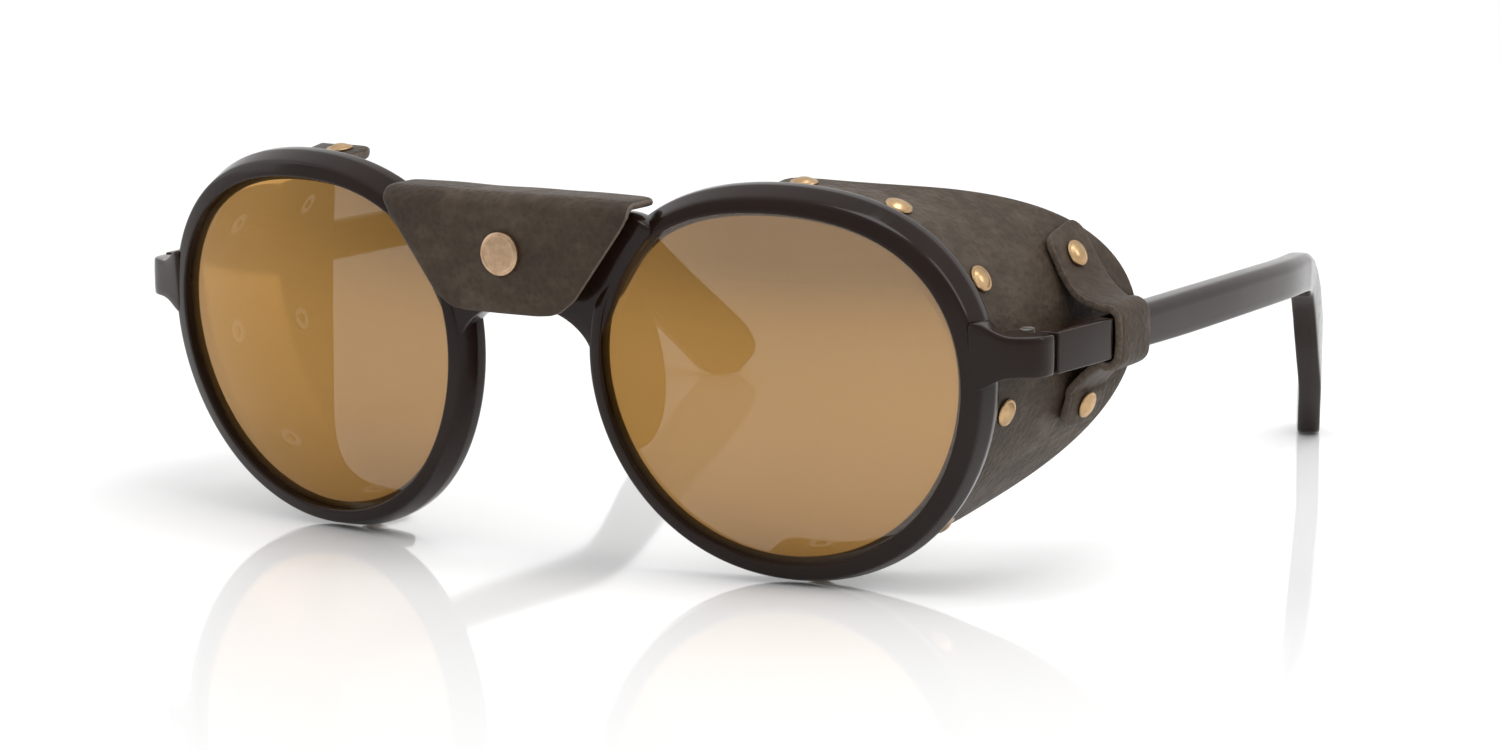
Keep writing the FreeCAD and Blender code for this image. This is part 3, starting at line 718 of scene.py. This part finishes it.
def arm_rings(side):
    stations = flowing(ARM_STATIONS, 8)
    rings = []
    count = len(stations)
    for i, (x, y, z, height, angle) in enumerate(stations):
        before = stations[max(i - 1, 0)]
        after = stations[min(i + 1, count - 1)]
        slope = (after[0] - before[0]) / (after[1] - before[1])
        outward = Vector((1, -slope, 0)).normalized()
        down = radians(angle)
        tangent = Vector((slope * cos(down), cos(down), -sin(down))).normalized()
        up = outward.cross(tangent)
        half = height / 2
        to_tip = (count - 1 - i) / 9
        if to_tip < 1:
            half *= 0.45 + 0.55 * sqrt(1 - (1 - to_tip) ** 2)
        t = ARM_THICKNESS / 2
        middle = Vector((x, y - ORIGIN_Y, z)) - outward * t
        bevel = 0.95 * min(1.0, max(0.25, (y - 20) / 12))
        profile = [(-t, -half + 0.45), (-t + 0.12, -half + 0.12), (-t + 0.45, -half),
                   (t - 0.55, -half), (t - 0.15, -half + 0.15), (t, -half + 0.55),
                   (t, half - bevel - 0.3), (t - 0.06, half - bevel), (t - bevel + 0.1, half - 0.1),
                   (t - bevel - 0.3, half), (-t + 0.45, half), (-t + 0.12, half - 0.12), (-t, half - 0.45)]
        ring = []
        for across, height_at in profile:
            spot = middle + outward * across + up * height_at
            if i > 60:
                spot.z = 0.5 * (spot.z + sqrt(spot.z ** 2 + 0.35))
            ring.append(flipped(spot, side))
        rings.append(ring)
    return rings


BLOCK_PLAN = [(71.6, 13.95), (73.15, 13.95), (74.35, 27.6), (74.3, 28.1), (73.9, 28.35), (71.6, 28.35)]

for side, word in ((1, "left"), (-1, "right")):
    shells = [subdivided(skin(arm_rings(side)), 1), prism(BLOCK_PLAN, 30.6, 36.1, 0.42, side, 4)]
    arm = piece("acetate_temple_" + word, shells, [acetate], "temple_" + word)
    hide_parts("temple_" + word)

# ---- Straps -----------------------------------------------------------------------
# A leather strap goes round each temple behind its block; the two legs lie on the shield
# and a brass rivet through each leg holds them.
STRAP_FRONT = 29.0
STRAP_WIDTH = 9.0
STRAP_THICKNESS = 1.4
STRAP_LEG_Y = 34.6
STRAP_RIVET_ANGLES = [20.0, -13.0]


def strap_n(angle):
    """Distance behind the lens at which the shield meets the legs' middle line."""
    n = STRAP_LEG_Y
    for _ in range(6):
        n += (STRAP_LEG_Y - ORIGIN_Y - shield_point(angle, n).y) / AXIS_N.y
    return n


def strap_rings(side):
    half = STRAP_THICKNESS / 2
    lift = SHIELD_HALF + 0.35 + half

    def leg(angle):
        n = strap_n(angle)
        return [*shield_point(angle, n - STRAP_WIDTH / 2, lift), *shield_point(angle, n + STRAP_WIDTH / 2, lift)]

    outside = 73.6 + 0.35 + half
    over = 36.25 + 0.3 + half
    under = 30.3 - 0.3 - half
    y0 = STRAP_FRONT - ORIGIN_Y
    y1 = y0 + STRAP_WIDTH
    loop = [(outside - 3.1, over + 0.05), (outside - 1.9, over), (outside - 0.9, over - 0.2),
            (outside - 0.2, over - 0.9), (outside, over - 1.9), (outside + 0.1, (over + under) / 2),
            (outside, under + 1.9), (outside - 0.2, under + 0.9), (outside - 0.9, under + 0.2),
            (outside - 1.9, under), (outside - 3.3, under - 0.05)]
    rows = [leg(a) for a in (27.5, 26.5, 24.0, 20.5, 18.2)]
    looped = [[x, y0, z, x, y1, z] for x, z in loop]
    rows.append([0.7 * a + 0.3 * b for a, b in zip(leg(14.2), looped[0])])
    rows += looped
    rows += [leg(a) for a in (-8.6, -11.0, -13.5, -16.0, -17.5, -18.3)]
    rows = flowing(rows, 4)
    pairs = [(Vector(r[:3]), Vector(r[3:])) for r in rows]
    middles = [(a + b) * 0.5 for a, b in pairs]
    lengths = [0.0]
    for a, b in zip(middles, middles[1:]):
        lengths.append(lengths[-1] + (b - a).length)
    rings = []
    for i, (a, b) in enumerate(pairs):
        across = (b - a).normalized()
        tangent = (middles[min(i + 1, len(middles) - 1)] - middles[max(i - 1, 0)])
        outward = tangent.cross(across).normalized()
        to_end = min(lengths[i], lengths[-1] - lengths[i])
        wide = STRAP_WIDTH / 2
        if to_end < 2.4:
            wide -= 2.4 - sqrt(max(0.0, 2.4 ** 2 - (2.4 - to_end) ** 2))
        thick = half * (0.75 if to_end < 0.1 else 1.0)
        profile = [(-wide + 0.35, thick), (0.0, thick + 0.06), (wide - 0.35, thick), (wide - 0.08, thick - 0.12),
                   (wide, thick - 0.35), (wide, 0.35 - thick), (wide - 0.08, 0.12 - thick),
                   (wide - 0.35, -thick), (0.0, -thick), (0.35 - wide, -thick), (0.08 - wide, 0.12 - thick),
                   (-wide, 0.35 - thick), (-wide, thick - 0.35), (0.08 - wide, thick - 0.12)]
        rings.append([flipped(middles[i] + across * p + outward * q, side) for p, q in profile])
    return rings


for side, word in ((1, "left"), (-1, "right")):
    edges = (3, 4, 5, 10, 11, 12)
    shell = skin(strap_rings(side), mark=lambda i, j: 1 if i < 0 or j in edges else 0)
    strap = piece("leather_strap_" + word, [shell], [leather, cut_edge], "temple_" + word, rounds=1)
    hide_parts("temple_strap_" + word)
    domes = []
    for angle in STRAP_RIVET_ANGLES:
        middle, normal = rivet_axis(angle, strap_n(angle))
        domes.append(turned(DOME, middle + normal * (SHIELD_HALF + 0.35 + STRAP_THICKNESS), normal, side))
    rivets = piece("brass_strap_rivets_" + word, domes, [brass], "temple_" + word, sharp=35)
    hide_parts("strap_rivets_" + word)

# ---- Hinges and hidden metal ------------------------------------------------------
# Five-barrel hinges, their screws, the washers, the shield bands and the core wires are
# plain stainless steel, ground smooth and left bare.


def make_steel():
    finish = Finish("ground_steel")
    lines = finish.noise(1400.0, 3.0, 0.6, finish.stretched((1.0, 0.15, 1.0)))
    colour = finish.mix(finish.ramp(lines, 0.3, 0.7), (0.42, 0.41, 0.39, 1), (0.60, 0.58, 0.55, 1))
    normal = finish.bump(lines, 0.00001, 0.3)
    return finish.surface({"Base Color": colour, "Metallic": 1.0, "Roughness": 0.24 + 0.16 * lines, "Normal": normal})


steel = make_steel()
for name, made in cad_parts.items():
    if not made.hide_render:
        made.data.materials.clear()
        made.data.materials.append(steel)

# ---- Table, light and camera ------------------------------------------------------
# A plain pale table with a soft gloss, under a large overhead softbox in a white room.


def make_table():
    finish = Finish("pale_table")
    cloud = finish.noise(3.0, 2.0)
    colour = finish.mix(cloud, (0.93, 0.93, 0.93, 1), (0.95, 0.95, 0.95, 1))
    return finish.surface({"Base Color": colour, "Roughness": 0.04 + 0.02 * cloud, "IOR": 1.5})


table_data = bpy.data.meshes.new("table")
reach = 6.0
table_data.from_pydata([(-reach, -reach, 0), (reach, -reach, 0), (reach, reach, 0), (-reach, reach, 0)], [], [(0, 1, 2, 3)])
table = bpy.data.objects.new("table", table_data)
table_data.materials.append(make_table())
table.location = (0, 0, -0.0002)
bpy.context.scene.collection.objects.link(table)


def softbox(name, place, towards, size, power, colour=(1, 1, 1)):
    data = bpy.data.lights.new(name, "AREA")
    data.shape = "RECTANGLE"
    data.size, data.size_y = size
    data.energy = power
    data.color = colour
    lamp = bpy.data.objects.new(name, data)
    lamp.location = place
    aim = Vector(towards) - Vector(place)
    lamp.rotation_euler = aim.to_track_quat("-Z", "Y").to_euler()
    bpy.context.scene.collection.objects.link(lamp)


softbox("overhead", (0.24, -0.10, 0.85), (0, 0, 0), (0.50, 0.40), 3.0)
softbox("from_the_left", (-0.9, -0.35, 0.45), (0, -0.03, 0.03), (0.5, 0.7), 1.0)
softbox("from_the_right", (0.8, 0.1, 0.5), (0.04, -0.03, 0.03), (0.25, 0.5), 1.4)

# The room is white to the eye, but the walls on the camera's side are unlit, so that the
# polished faces which look that way stay dark.
world = bpy.data.worlds.new("white_room")
bpy.context.scene.world = world
bpy.context.scene.view_settings.view_transform = "Standard"
world.use_nodes = True
sky = world.node_tree
sky.nodes.clear()


def sky_node(kind, sockets, out=0):
    made = sky.nodes.new(kind)
    for key, value in sockets.items():
        if isinstance(value, bpy.types.NodeSocket):
            sky.links.new(value, made.inputs[key])
        else:
            made.inputs[key].default_value = value
    return made.outputs[out]


direction = sky_node("ShaderNodeTexCoord", {}, out=0)
turned_sky = sky_node("ShaderNodeMapping", {"Vector": direction, "Rotation": (0, 0, radians(-20.0))})
apart = sky.nodes.new("ShaderNodeSeparateXYZ")
sky.links.new(turned_sky, apart.inputs[0])
from_front = sky_node("ShaderNodeMapRange", {"Value": apart.outputs["Y"], "From Min": -0.75, "From Max": -0.1})
from_above = sky_node("ShaderNodeMapRange", {"Value": apart.outputs["Z"], "From Min": 0.25, "From Max": 0.65})
either = sky.nodes.new("ShaderNodeMath")
either.operation = "MAXIMUM"
sky.links.new(from_front, either.inputs[0])
sky.links.new(from_above, either.inputs[1])
room = sky_node("ShaderNodeMapRange", {"Value": either.outputs[0], "To Min": 0.60, "To Max": 1.0})
ray = sky.nodes.new("ShaderNodeLightPath")
strength = sky_node("ShaderNodeMapRange", {"Value": ray.outputs["Is Camera Ray"], "To Min": room, "To Max": 1.0})
light = sky_node("ShaderNodeBackground", {"Color": (1, 1, 1, 1), "Strength": strength})
sky_node_out = sky.nodes.new("ShaderNodeOutputWorld")
sky.links.new(light, sky_node_out.inputs["Surface"])

camera_data = bpy.data.cameras.new("camera")
camera_data.sensor_width = 36.0
camera_data.lens = 101.7
camera = bpy.data.objects.new("camera", camera_data)
camera.location = (0.31118, -0.55187, 0.12638)
azimuth = radians(29.97)
elevation = radians(9.95)
look = Vector((-sin(azimuth) * cos(elevation), cos(azimuth) * cos(elevation), -sin(elevation)))
camera.rotation_euler = look.to_track_quat("-Z", "Y").to_euler()
bpy.context.scene.collection.objects.link(camera)
bpy.context.scene.camera = camera
